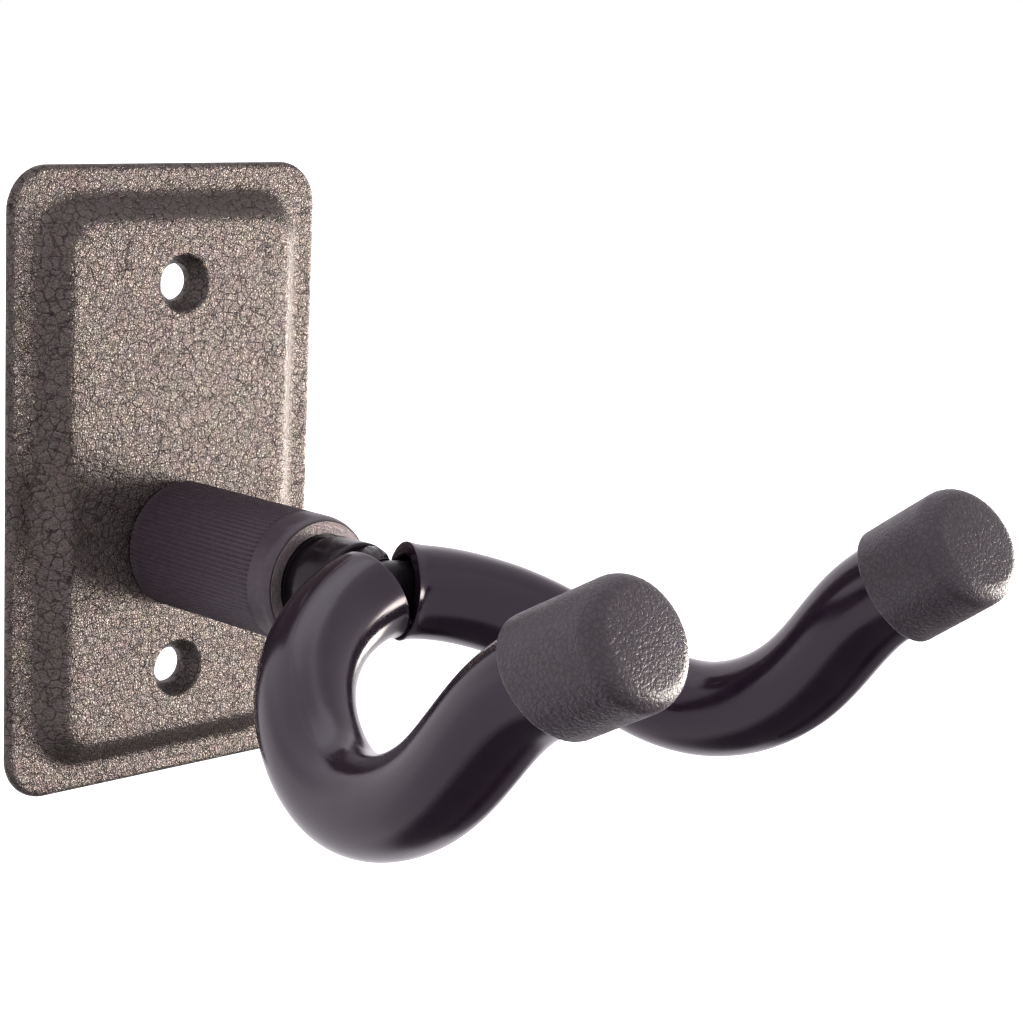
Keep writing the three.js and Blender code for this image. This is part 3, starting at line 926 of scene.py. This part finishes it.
def hammertone(name, cell=590, grain=2300, light=(0.134, 0.114, 0.105), dark=(0.014, 0.0105, 0.0115), rough=0.31, crackle=1.0):
    """Crackled metallic paint: small raised cells between thin dark lines, with a fine grain of flakes."""
    t = Tree(name)
    co = t.coords()
    wob = t.noise(co, cell * 1.3, 3, 0.6, out="Color")
    warped = t.vadd(co, wob, 0.0012)
    edge = t.voronoi(warped, cell, "DISTANCE_TO_EDGE")
    line = t.range(edge, 0.0, 0.085, 0, 1)
    broad = t.range(edge, 0.0, 0.30, 0, 1)
    wob2 = t.noise(co, grain * 0.8, 2, 0.5, out="Color")
    warped2 = t.vadd(co, wob2, 0.0004)
    fine = t.range(t.voronoi(warped2, grain, "DISTANCE_TO_EDGE"), 0.0, 0.30, 0, 1)
    fade = t.noise(co, cell * 0.55, 2, 0.6)
    strength = t.range(fade, 0.35, 0.65, 0.50 * crackle, 0.95 * crackle)
    dust = t.noise(co, 3300, 2, 0.6)
    # how much paint shows: 0 in the cracks, 1 on the cells
    crack = t.math("SUBTRACT", 1.0, t.math("MULTIPLY", t.math("SUBTRACT", 1.0, line), strength))
    cover = t.math("MULTIPLY", crack, t.range(fine, 0, 1, 1 - 0.32 * crackle, 1.0))
    flake = t.node("ShaderNodeTexVoronoi")
    t.link(co, flake.inputs["Vector"])
    flake.inputs["Scale"].default_value = 2900
    cover = t.math("MULTIPLY", cover, t.range(flake.outputs["Color"], 0.15, 0.85, 1 - 0.22 * crackle, 1 + 0.30 * crackle))
    cover = t.math("MULTIPLY", cover, t.range(dust, 0.3, 0.7, 0.60, 1.32))
    col = t.ramp(cover, [(0.0, dark), (1.0, light)])
    tint = t.noise(co, 420, 2, 0.5, out="Color")
    col = t.mix(0.12, col, tint, "OVERLAY")
    t.set(Base_Color=col, Metallic=0.92, Roughness=t.range(cover, 0, 1, rough + 0.22, rough))
    h = t.math("ADD", t.math("MULTIPLY", broad, 0.40), t.math("MULTIPLY", fine, 0.80))
    h = t.math("ADD", h, t.math("MULTIPLY", line, 0.35))
    peel = t.noise(co, 620, 3, 0.55)
    t.set(Normal=t.bump(h, 0.00007, 1.0, t.bump(peel, 0.00022, 0.6)))
    return t.mat


def ribbed_plastic(name):
    t = Tree(name)
    co = t.coords()
    n = t.noise(co, 900, 3, 0.6)
    f = t.noise(co, 4200, 2, 0.6)
    col = t.mix(t.range(n, 0.3, 0.7, 0, 1), (0.037, 0.0270, 0.0345), (0.053, 0.0405, 0.0500))
    t.set(Base_Color=col, Roughness=t.range(f, 0.3, 0.7, 0.33, 0.46))
    t.set(Normal=t.bump(f, 0.00002, 0.35))
    return t.mat


def smooth_black(name, base=(0.010, 0.008, 0.011), rough=(0.10, 0.2), streak=0.0, coat=0.0, bump=0.00002, scale=320, spec=0.5):
    t = Tree(name)
    co = t.coords()
    n = t.noise(co, scale, 4, 0.6)
    col = t.mix(t.range(n, 0.35, 0.65, 0, 1), base, tuple(c * 1.6 for c in base))
    t.set(Base_Color=col, Roughness=t.range(n, 0.35, 0.65, rough[0], rough[1]))
    t.bsdf.inputs["Specular IOR Level"].default_value = spec
    if coat:
        t.bsdf.inputs["Coat Weight"].default_value = coat
        t.bsdf.inputs["Coat Roughness"].default_value = 0.06
    t.set(Normal=t.bump(t.noise(co, scale * 4, 3, 0.6), bump, 0.4))
    return t.mat


def vinyl(name):
    """Glossy soft tubing with faint lengthwise extrusion lines."""
    t = Tree(name)
    co = t.coords()
    uv = t.node("ShaderNodeUVMap", uv_map="along").outputs[0]
    st = t.node("ShaderNodeMapping")
    st.inputs["Scale"].default_value = (70, 35, 1)
    t.link(uv, st.inputs[0])
    lines = t.noise(st.outputs[0], 1.0, 3, 0.6)
    n = t.noise(co, 160, 4, 0.6)
    spots = t.noise(co, 1500, 2, 0.6)
    col = t.mix(t.range(n, 0.3, 0.7, 0, 1), (0.0085, 0.0040, 0.0095), (0.0125, 0.0070, 0.0135))
    r = t.math("ADD", t.range(n, 0.3, 0.7, 0.13, 0.2), t.range(spots, 0.55, 0.75, 0.0, 0.06))
    t.set(Base_Color=col, Roughness=r)
    t.bsdf.inputs["Specular Tint"].default_value = (1.0, 0.90, 1.0, 1)
    b = t.bump(lines, 0.00005, 0.25)
    t.set(Normal=t.bump(spots, 0.000012, 0.3, b))
    return t.mat


def grained_rubber(name):
    t = Tree(name)
    co = t.coords()
    wob = t.noise(co, 1100, 3, 0.6, out="Color")
    w = t.vadd(co, wob, 0.0007)
    e1 = t.range(t.voronoi(w, 1150, "DISTANCE_TO_EDGE"), 0, 0.22, 0, 1)
    e2 = t.range(t.voronoi(t.vadd(co, wob, 0.0004), 2600, "DISTANCE_TO_EDGE"), 0, 0.25, 0, 1)
    n = t.noise(co, 220, 3, 0.6)
    h = t.math("ADD", t.math("MULTIPLY", e1, 0.7), t.math("MULTIPLY", e2, 0.3))
    # the colour is darker in the grain's creases than on its tops: painted shade in the creases
    col = t.mix(h, (0.020, 0.0145, 0.0190), (0.047, 0.0375, 0.0450))
    t.set(Base_Color=col, Roughness=t.range(n, 0.3, 0.7, 0.33, 0.43))
    t.set(Normal=t.bump(h, 0.00006, 0.8))
    return t.mat


def metal(name, base=(0.55, 0.55, 0.56), rough=0.3):
    t = Tree(name)
    co = t.coords()
    n = t.noise(co, 500, 4, 0.65)
    col = t.mix(t.range(n, 0.3, 0.7, 0, 1), tuple(c * 0.85 for c in base), base)
    t.set(Base_Color=col, Metallic=1.0, Roughness=t.range(n, 0.3, 0.7, rough, rough + 0.15))
    t.set(Normal=t.bump(t.noise(co, 1800, 2, 0.5), 0.00001, 0.4))
    return t.mat


def nylon(name):
    t = Tree(name)
    co = t.coords()
    n = t.noise(co, 300, 3, 0.6)
    col = t.mix(t.range(n, 0.3, 0.7, 0, 1), (0.62, 0.58, 0.50), (0.72, 0.69, 0.62))
    t.set(Base_Color=col, Roughness=t.range(n, 0.3, 0.7, 0.42, 0.55))
    t.bsdf.inputs["Subsurface Weight"].default_value = 0.1
    t.set(Normal=t.bump(t.noise(co, 1500, 2, 0.5), 0.00001, 0.3))
    return t.mat


PAINT = hammertone("hammertone_paint")
# a lighter copy of the plate paint for the standoff tube: its extra lightness over the plate paint is painted sheen,
# standing in for light on the tube's end face
PAINT_FINE_PAINTED_SHEEN = hammertone("hammertone_paint_fine_painted_sheen", cell=1500, grain=3200, rough=0.5, light=(0.25, 0.212, 0.214), dark=(0.11, 0.09, 0.094), crackle=0.25)
RIBBED = ribbed_plastic("ribbed_plastic")
BLACK_NYLON = smooth_black("black_nylon", (0.004, 0.003, 0.004), (0.3, 0.42), spec=0.2)
NATURAL = nylon("natural_nylon")
GLOSS = smooth_black("gloss_black_paint", (0.006, 0.004, 0.006), (0.14, 0.30), spec=0.30, bump=0.00010, scale=260)
WELD = smooth_black("weld_bead", (0.010, 0.008, 0.010), (0.14, 0.3), coat=0.3, bump=0.00012, scale=420)
ROD_PAINT = smooth_black("gloss_black_rod", (0.004, 0.003, 0.004), (0.22, 0.40), spec=0.12, bump=0.00010, scale=300)
ZINC = metal("zinc_steel")
VINYL = vinyl("black_vinyl")
GRAIN = grained_rubber("grained_rubber")


def place(ob, mat, body, node):
    ob.data.materials.clear()
    ob.data.materials.append(mat)
    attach(ob, body)
    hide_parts(node)
    return ob


# ---------------------------------------------------------------------------------------------
# build
# ---------------------------------------------------------------------------------------------
place(plate("plate_skin"), PAINT, "base", "wall_plate")
# the standoff tube wears the lighter copy of the plate paint: painted sheen on its end face
place(
    sharp_by_angle(turned("standoff_tube_body", subdivided(rounded(
        [(TUBE_RI, TUBE_BACK), (TUBE_RO + 0.15, TUBE_BACK), (TUBE_RO + 0.15, TUBE_FRONT), (7.72, TUBE_FRONT), (7.72, TUBE_FRONT - 0.26), (TUBE_RI, TUBE_FRONT - 0.26)],
        [0.1, 0.1, 0.1, 0.12, 0, 0], 5), 2.5), 160), 60),
    PAINT_FINE_PAINTED_SHEEN, "base", "standoff_tube")
place(weld_ring("standoff_weld_bead"), WELD, "base", "standoff_weld")
place(ribbed("ribbed_sleeve_body"), RIBBED, "base", "ribbed_sleeve")
BUSH_RO, BUSH_RI = TUBE_RI - 0.12, SHAFT_R + 0.1
place(turned("front_bushing_body", subdivided(rounded(
    [(BUSH_RI, 27.0), (BUSH_RO, 27.0), (BUSH_RO, TUBE_FRONT - 0.3), (NOSE_R, TUBE_FRONT - 0.3), (NOSE_R, HEAD_BACK - 0.3), (BUSH_RI, HEAD_BACK - 0.3)],
    [0.2, 0.2, 0.2, 0.15, 0.3, 0.2], 4), 3), 128), BLACK_NYLON, "base", "front_bushing")
place(turned("rear_bushing_body", subdivided(rounded(
    [(BUSH_RI, 8.0), (BUSH_RO, 8.0), (BUSH_RO, 20.0), (BUSH_RI, 20.0)], 0.2, 4), 3), 128), BLACK_NYLON, "base", "rear_bushing")

spindle_profile = [(0, 20.0), (2.7, 20.0), (2.7, SHAFT_BACK), (SHAFT_R, SHAFT_BACK), (SHAFT_R, HEAD_BACK), (HEAD_R, HEAD_BACK), (HEAD_R, HEAD_FRONT), (0, HEAD_FRONT)]
spindle_profile = [np.array((0, 20.0))] + rounded(spindle_profile, [0, 0, 0.1, 0.4, 0.2, 0.35, 0.45, 0], 5)[1:]
place(turned("swivel_spindle_body", subdivided(spindle_profile, 1.5, closed=False), 160, closed=False), GLOSS, "yoke", "swivel_spindle")
place(turned("thrust_washer_body", subdivided(rounded(
    [(SHAFT_R + 0.1, 7.0), (7.7, 7.0), (7.7, 7.7), (SHAFT_R + 0.1, 7.7)], 0.1, 3), 1), 128), NATURAL, "yoke", "thrust_washer")
place(turned("retaining_washer_body", subdivided(rounded(
    [(2.8, 5.5), (7.4, 5.5), (7.4, 6.7), (2.8, 6.7)], 0.15, 3), 1), 128), ZINC, "yoke", "retaining_washer")
place(hex_socket_screw("retaining_screw_body"), ZINC, "yoke", "retaining_screw")
place(rod("yoke_rod_body"), ROD_PAINT, "yoke", "yoke_rod")
place(bead("yoke_weld_bead"), WELD, "yoke", "yoke_weld")
place(cushion("left_tube_body", -1), VINYL, "yoke", "left_tube")
place(cushion("right_tube_body", 1), VINYL, "yoke", "right_tube")
place(cap("left_end_cap_body", L_MOUTH, L_TIP, L_LEAN), GRAIN, "yoke", "left_end_cap")
place(cap("right_end_cap_body", R_MOUTH, R_TIP, R_LEAN), GRAIN, "yoke", "right_end_cap")


# ---------------------------------------------------------------------------------------------
# stage: pale floor, soft studio light, camera
# ---------------------------------------------------------------------------------------------
scene = bpy.context.scene
scene.view_settings.view_transform = "Standard"

lo, hi = CAD_BOX
floor_z = lo.z - 0.22
fm = bpy.data.materials.new("floor")
fm.use_nodes = True
fb = fm.node_tree.nodes["Principled BSDF"]
fb.inputs["Base Color"].default_value = (0.9, 0.9, 0.9, 1)
fb.inputs["Roughness"].default_value = 0.9
fb.inputs["Emission Color"].default_value = (1, 1, 1, 1)
fb.inputs["Emission Strength"].default_value = 1.0
# The pale floor is seen by the camera; the part itself is lit from below by the surround alone.
_fn = fm.node_tree
_through = _fn.nodes.new("ShaderNodeBsdfTransparent")
_path = _fn.nodes.new("ShaderNodeLightPath")
_pick = _fn.nodes.new("ShaderNodeMixShader")
_fn.links.new(_path.outputs["Is Camera Ray"], _pick.inputs[0])
_fn.links.new(_through.outputs[0], _pick.inputs[1])
_fn.links.new(fb.outputs[0], _pick.inputs[2])
_fn.links.new(_pick.outputs[0], _fn.nodes["Material Output"].inputs[0])
fme = bpy.data.meshes.new("floor")
fme.from_pydata([(-6, -6, floor_z), (6, -6, floor_z), (6, 6, floor_z), (-6, 6, floor_z)], [], [(0, 1, 2, 3)])
floor = bpy.data.objects.new("floor", fme)
floor.data.materials.append(fm)
scene.collection.objects.link(floor)


def world():
    """Studio surround, by azimuth (0 straight out from the wall, 90 to the right along +X) and elevation, in degrees: a pale
    sweep, dark underneath, with rectangles of light. The camera itself sees plain white."""
    w = bpy.data.worlds.new("studio")
    w.use_nodes = True
    nt = w.node_tree
    nt.nodes.clear()
    out = nt.nodes.new("ShaderNodeOutputWorld")
    tc = nt.nodes.new("ShaderNodeTexCoord")

    def op(kind, a, b=None, c=None, vector=False):
        n = nt.nodes.new("ShaderNodeVectorMath" if vector else "ShaderNodeMath")
        n.operation = kind
        for i, x in enumerate((a, b, c)):
            if x is None:
                continue
            if isinstance(x, bpy.types.NodeSocket):
                nt.links.new(x, n.inputs[i])
            else:
                n.inputs[i].default_value = x
        return n.outputs[0]

    def step(v, a, b, c=0.0, d=1.0):
        n = nt.nodes.new("ShaderNodeMapRange")
        n.interpolation_type = "SMOOTHSTEP"
        nt.links.new(v, n.inputs[0])
        for i, x in zip((1, 2, 3, 4), (a, b, c, d)):
            n.inputs[i].default_value = x
        return n.outputs[0]

    sep = nt.nodes.new("ShaderNodeSeparateXYZ")
    nt.links.new(tc.outputs["Generated"], sep.inputs[0])
    x, y, z = sep.outputs
    az = op("MULTIPLY", op("ARCTAN2", x, op("MULTIPLY", y, -1.0)), 180 / math.pi)
    el = op("MULTIPLY", op("ARCSINE", z), 180 / math.pi)

    def patch(a0, a1, e0, e1, soft):
        f = op("MULTIPLY", step(az, a0 - soft, a0 + soft), step(az, a1 - soft, a1 + soft, 1.0, 0.0))
        g = op("MULTIPLY", step(el, e0 - soft, e0 + soft), step(el, e1 - soft, e1 + soft, 1.0, 0.0))
        return op("MULTIPLY", f, g)

    dot = nt.nodes.new("ShaderNodeVectorMath")
    dot.operation = "DOT_PRODUCT"
    nt.links.new(tc.outputs["Generated"], dot.inputs[0])
    dot.inputs[1].default_value = Vector(toward(-20, -78))
    under = step(dot.outputs["Value"], math.cos(math.radians(43)), math.cos(math.radians(29)))
    shade = op("SUBTRACT", 1.0, op("MULTIPLY", under, 1 - UNDERNEATH))
    for a0, a1, e0, e1, soft, depth in FLAGS:
        shade = op("MULTIPLY", shade, op("SUBTRACT", 1.0, op("MULTIPLY", patch(a0, a1, e0, e1, soft), depth)))
    scale = nt.nodes.new("ShaderNodeVectorMath")
    scale.operation = "SCALE"
    scale.inputs[0].default_value = AMBIENT
    nt.links.new(shade, scale.inputs["Scale"])
    total = scale.outputs[0]
    for a0, a1, e0, e1, soft, colour in PANELS:
        p = nt.nodes.new("ShaderNodeVectorMath")
        p.operation = "SCALE"
        p.inputs[0].default_value = colour
        nt.links.new(patch(a0, a1, e0, e1, soft), p.inputs["Scale"])
        total = op("ADD", total, p.outputs[0], vector=True)
    light = nt.nodes.new("ShaderNodeBackground")
    nt.links.new(total, light.inputs[0])
    light.inputs[1].default_value = 1.0
    white = nt.nodes.new("ShaderNodeBackground")
    white.inputs[0].default_value = (1, 1, 1, 1)
    white.inputs[1].default_value = 1.0
    lp = nt.nodes.new("ShaderNodeLightPath")
    mix = nt.nodes.new("ShaderNodeMixShader")
    nt.links.new(lp.outputs["Is Camera Ray"], mix.inputs[0])
    nt.links.new(light.outputs[0], mix.inputs[1])
    nt.links.new(white.outputs[0], mix.inputs[2])
    nt.links.new(mix.outputs[0], out.inputs[0])
    scene.world = w


def toward(azimuth, elevation):
    """A direction: azimuth 0 straight out from the wall, 90 to the right along +X."""
    a, e = math.radians(azimuth), math.radians(elevation)
    return (math.sin(a) * math.cos(e), -math.cos(a) * math.cos(e), math.sin(e))


AMBIENT = (1.0, 0.94, 1.0)
UNDERNEATH = 0.14
FLAGS = [
    # azimuth from and to, elevation from and to, softness, how much light it takes away
    (62, 118, -75, -30, 5, 0.80),
    (48, 114, 9, 58, 7, 0.22),
]
PANELS = [
    # azimuth from and to, elevation from and to, softness, colour
    (38, 72, -21, -1, 4, (17.5, 16.3, 14.9)),  # key softbox, right
    (72, 106, -21, -1, 4, (15.5, 14.4, 13.0)),  # key softbox, right
    (105, 190, 50, 72, 6, (0.80, 0.80, 0.86)),  # overhead, behind
    (-190, -146, 24, 72, 9, (0.30, 0.29, 0.34)),
    (118, 190, -60, -14, 5, (0.25, 0.25, 0.25)),  # white sweep behind
    (118, 144, -14, 30, 5, (0.30, 0.30, 0.30)),
    (-190, -140, -56, 6, 7, (0.25, 0.25, 0.25)),
]
world()


def softbox(name, pos, target, size, watts, colour=(1, 1, 1)):
    L = bpy.data.lights.new(name, "AREA")
    L.shape = "RECTANGLE"
    L.size, L.size_y = size
    L.energy = watts
    L.color = colour
    o = bpy.data.objects.new(name, L)
    o.location = pos
    d = Vector(target) - Vector(pos)
    o.rotation_mode = "QUATERNION"
    o.rotation_quaternion = d.to_track_quat("-Z", "Y")
    o.visible_glossy = False
    scene.collection.objects.link(o)
    return o


softbox("top_box", (-0.15, 0.05, 0.8), (0, -0.07, -0.01), (0.4, 0.4), 0.4)


def camera():
    yaw, pitch, roll = (math.radians(a) for a in (45.1090, -11.0697, 2.5201))
    fwd = Vector((math.sin(yaw) * math.cos(pitch), math.cos(yaw) * math.cos(pitch), math.sin(pitch)))
    right = Vector((math.cos(yaw), -math.sin(yaw), 0))
    up = right.cross(fwd)
    r2 = math.cos(roll) * right + math.sin(roll) * up
    u2 = -math.sin(roll) * right + math.cos(roll) * up
    cam = bpy.data.cameras.new("camera")
    cam.sensor_fit = "AUTO"
    cam.sensor_width = 36
    cam.lens = 2514.4458 * 36 / 1024
    cam.clip_start, cam.clip_end = 0.01, 50
    ob = bpy.data.objects.new("camera", cam)
    M = Matrix.Identity(4)
    for i in range(3):
        M[i][0], M[i][1], M[i][2] = r2[i], u2[i], -fwd[i]
    M[0][3], M[1][3], M[2][3] = -0.24753, -0.32844, 0.07576
    ob.matrix_world = M
    scene.collection.objects.link(ob)
    scene.camera = ob


camera()
